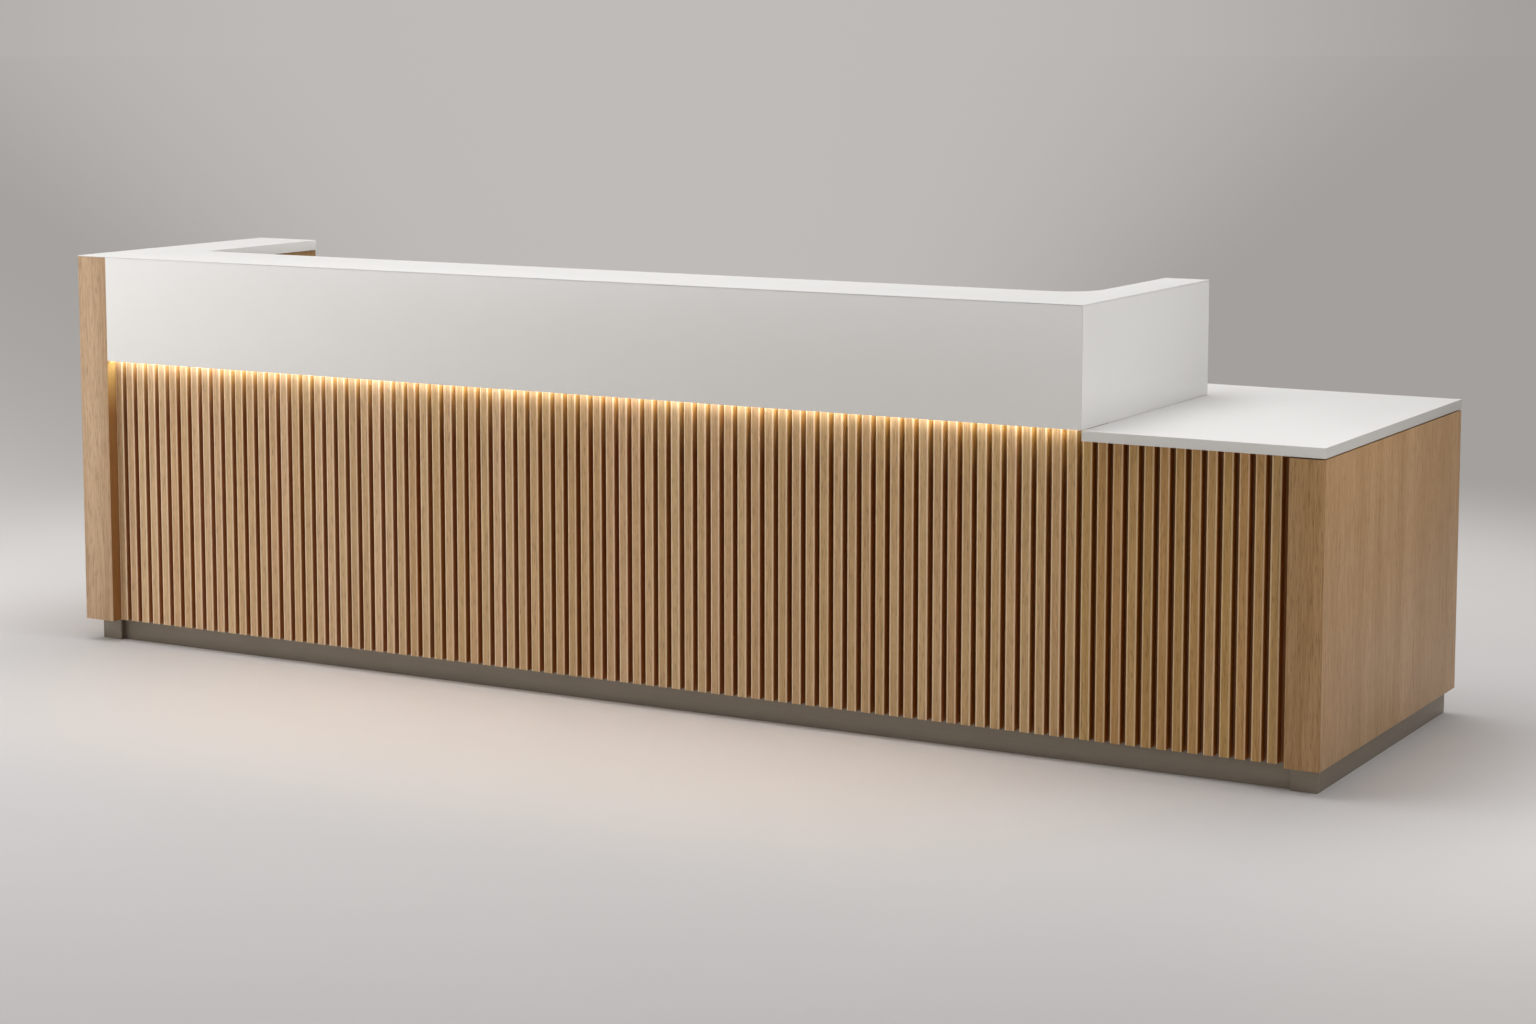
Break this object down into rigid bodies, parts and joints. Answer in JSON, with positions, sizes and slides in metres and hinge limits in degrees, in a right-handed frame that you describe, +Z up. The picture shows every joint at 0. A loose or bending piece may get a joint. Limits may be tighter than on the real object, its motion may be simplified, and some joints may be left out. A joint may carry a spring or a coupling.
{
  "type": "reception desk",
  "caption": "Long reception desk: white raised counter over a lit vertical-slat oak front, low accessible counter at one end, staff worktop, drawers and cupboard behind.",
  "frame": {"origin": "on the floor, under the middle of the desk's bounding box", "axes": "+X along the desk to the low counter's end, +Y from the visitors' side to the staff's side, +Z up"},
  "size_m": [3.6697, 1.0248, 1.0999],
  "materials": {
    "oak_veneer": "satin lacquer",
    "oak_slats": "satin lacquer",
    "white_solid_surface": "satin",
    "white_laminate": "matt",
    "plinth_metal": "brushed, grey-brown",
    "carcass_board": "matt",
    "aluminium": "satin anodised",
    "light_tape": "matt",
    "opal_diffuser": "matt, lit from behind",
    "black_plastic": "matt",
    "birch_ply": "matt",
    "zinc_steel": "zinc plated",
    "satin_steel": "satin"
  },
  "bodies": {
    "base": {"left_end_panel": "oak_veneer", "left_front_post": "oak_veneer", "left_inner_panel": "oak_veneer", "left_rear_panel": "oak_veneer", "right_end_panel": "oak_veneer", "right_front_post": "oak_veneer", "staff_panel": "oak_veneer", "worktop_gable": "oak_veneer", "cabinet_side": "oak_veneer", "cabinet_base": "oak_veneer", "cabinet_divider": "oak_veneer", "cupboard_shelf": "oak_veneer", "slat_panel_1": "oak_slats", "slat_panel_2": "oak_slats", "slat_panel_3": "oak_slats", "slat_panel_low": "oak_slats", "counter_top": "white_solid_surface", "fascia_front": "white_solid_surface", "return_outer": "white_solid_surface", "return_inner": "white_solid_surface", "return_rear": "white_solid_surface", "low_counter_top": "white_solid_surface", "staff_worktop": "white_laminate", "plinth_front": "plinth_metal", "plinth_left_block": "plinth_metal", "plinth_left_side": "plinth_metal", "plinth_right_block": "plinth_metal", "plinth_right_side": "plinth_metal", "plinth_rear": "plinth_metal", "backing_board": "carcass_board", "fascia_core": "carcass_board", "wall_end": "carcass_board", "wall_rib_1": "carcass_board", "wall_rib_2": "carcass_board", "light_channel": "aluminium", "light_tape": "light_tape", "light_diffuser": "opal_diffuser", "light_driver": "black_plastic", "light_lead": "black_plastic", "runner_left_1": "zinc_steel", "runner_right_1": "zinc_steel", "runner_left_2": "zinc_steel", "runner_right_2": "zinc_steel", "runner_left_3": "zinc_steel", "runner_right_3": "zinc_steel", "pivot_lower": "zinc_steel", "pivot_upper": "zinc_steel"},
    "drawer_1": {"drawer_front_1": "oak_veneer", "drawer_box_1": "birch_ply", "drawer_handle_1": "satin_steel"},
    "drawer_2": {"drawer_front_2": "oak_veneer", "drawer_box_2": "birch_ply", "drawer_handle_2": "satin_steel"},
    "drawer_3": {"drawer_front_3": "oak_veneer", "drawer_box_3": "birch_ply", "drawer_handle_3": "satin_steel"},
    "door": {"cupboard_door": "oak_veneer", "cupboard_handle": "satin_steel"}
  },
  "joints": [
    {"name": "drawer_1_slide", "type": "slide", "parent": "base", "child": "drawer_1", "axis": [0, 1, 0], "range_m": [0, 0.45]},
    {"name": "drawer_2_slide", "type": "slide", "parent": "base", "child": "drawer_2", "axis": [0, 1, 0], "range_m": [0, 0.45]},
    {"name": "drawer_3_slide", "type": "slide", "parent": "base", "child": "drawer_3", "axis": [0, 1, 0], "range_m": [0, 0.45]},
    {"name": "door_hinge", "type": "hinge", "parent": "base", "child": "door", "pos_m": [1.796, 0.4715, 0.43], "axis": [0, 0, -1], "range_deg": [0, 100]}
  ]
}
